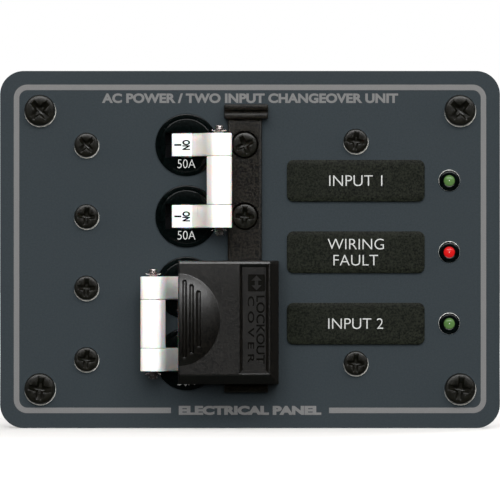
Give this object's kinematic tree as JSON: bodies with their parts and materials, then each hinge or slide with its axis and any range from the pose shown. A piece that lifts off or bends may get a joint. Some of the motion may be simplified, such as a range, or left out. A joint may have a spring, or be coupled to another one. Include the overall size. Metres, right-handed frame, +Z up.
{
  "type": "ac source selector panel",
  "caption": "Flat equipment panel that chooses between AC supplies with ganged toggle breakers, a sliding lockout cover, backlit label windows and indicator lamps.",
  "frame": {"origin": "centre of the plate's back face, in the plane where the plate meets the bulkhead", "axes": "+X to the right and +Z up as the panel is read, +Y into the bulkhead"},
  "size_m": [0.1334, 0.0734, 0.0952],
  "materials": {
    "panel_coat": "satin powder coat",
    "black_nylon": "fine moulded grain",
    "gloss_black": "gloss",
    "phenolic": "satin moulding",
    "black_screw": "black oxide",
    "label_black": "satin film",
    "white_nylon": "satin moulding",
    "plated_steel": "bright plating",
    "brass": "plain",
    "diffuser": "frosted",
    "lens_green": "clear tint",
    "lens_red": "clear tint"
  },
  "bodies": {
    "panel": {"backlight_nut_1": "plated_steel", "backlight_nut_2": "plated_steel", "backlight_screw_1": "black_screw", "backlight_screw_2": "black_screw", "backlight_sheet": "diffuser", "backlight_tray": "white_nylon", "breaker_case_1_lower": "phenolic", "breaker_case_1_upper": "phenolic", "breaker_case_2_lower": "phenolic", "breaker_case_2_upper": "phenolic", "breaker_case_3_lower": "phenolic", "breaker_case_3_upper": "phenolic", "breaker_case_4_lower": "phenolic", "breaker_case_4_upper": "phenolic", "breaker_screw_1": "black_screw", "breaker_screw_2": "black_screw", "breaker_screw_3": "black_screw", "breaker_screw_4": "black_screw", "corner_screw_bottom_left": "black_screw", "corner_screw_bottom_right": "black_screw", "corner_screw_top_left": "black_screw", "corner_screw_top_right": "black_screw", "label_generator": "label_black", "label_polarity": "label_black", "label_shore": "label_black", "lamp_holder_generator": "gloss_black", "lamp_holder_polarity": "gloss_black", "lamp_holder_shore": "gloss_black", "lamp_lens_generator": "lens_green", "lamp_lens_polarity": "lens_red", "lamp_lens_shore": "lens_green", "line_terminal_1": "brass", "line_terminal_2": "brass", "line_terminal_3": "brass", "line_terminal_4": "brass", "load_terminal_1": "brass", "load_terminal_2": "brass", "load_terminal_3": "brass", "load_terminal_4": "brass", "panel_plate": "panel_coat", "slide_track": "black_nylon", "track_screw_1": "black_screw", "track_screw_2": "black_screw", "track_screw_3": "black_screw", "track_screw_4": "black_screw"},
    "upper_toggle": {"upper_toggle_lever_upper": "white_nylon", "upper_toggle_lever_lower": "white_nylon", "upper_toggle_tie_bar": "white_nylon", "upper_toggle_tie_pin": "plated_steel", "upper_toggle_pin_clip_upper": "plated_steel", "upper_toggle_pin_clip_lower": "plated_steel"},
    "lower_toggle": {"lower_toggle_lever_upper": "white_nylon", "lower_toggle_lever_lower": "white_nylon", "lower_toggle_tie_bar": "white_nylon", "lower_toggle_tie_pin": "plated_steel", "lower_toggle_pin_clip_upper": "plated_steel", "lower_toggle_pin_clip_lower": "plated_steel"},
    "lockout_slide": {"lockout_cover": "black_nylon"}
  },
  "joints": [
    {"name": "upper_toggle_swing", "type": "hinge", "parent": "panel", "child": "upper_toggle", "pos_m": [-0.01693, 0.00252, 0.01835], "axis": [0, 0, -1], "range_deg": [0, 52]},
    {"name": "lower_toggle_swing", "type": "hinge", "parent": "panel", "child": "lower_toggle", "pos_m": [-0.01693, 0.00252, -0.01975], "axis": [0, 0, 1], "range_deg": [0, 52]},
    {"name": "cover_slide", "type": "slide", "parent": "panel", "child": "lockout_slide", "axis": [0, 0, 1], "range_m": [0, 0.0374]}
  ]
}
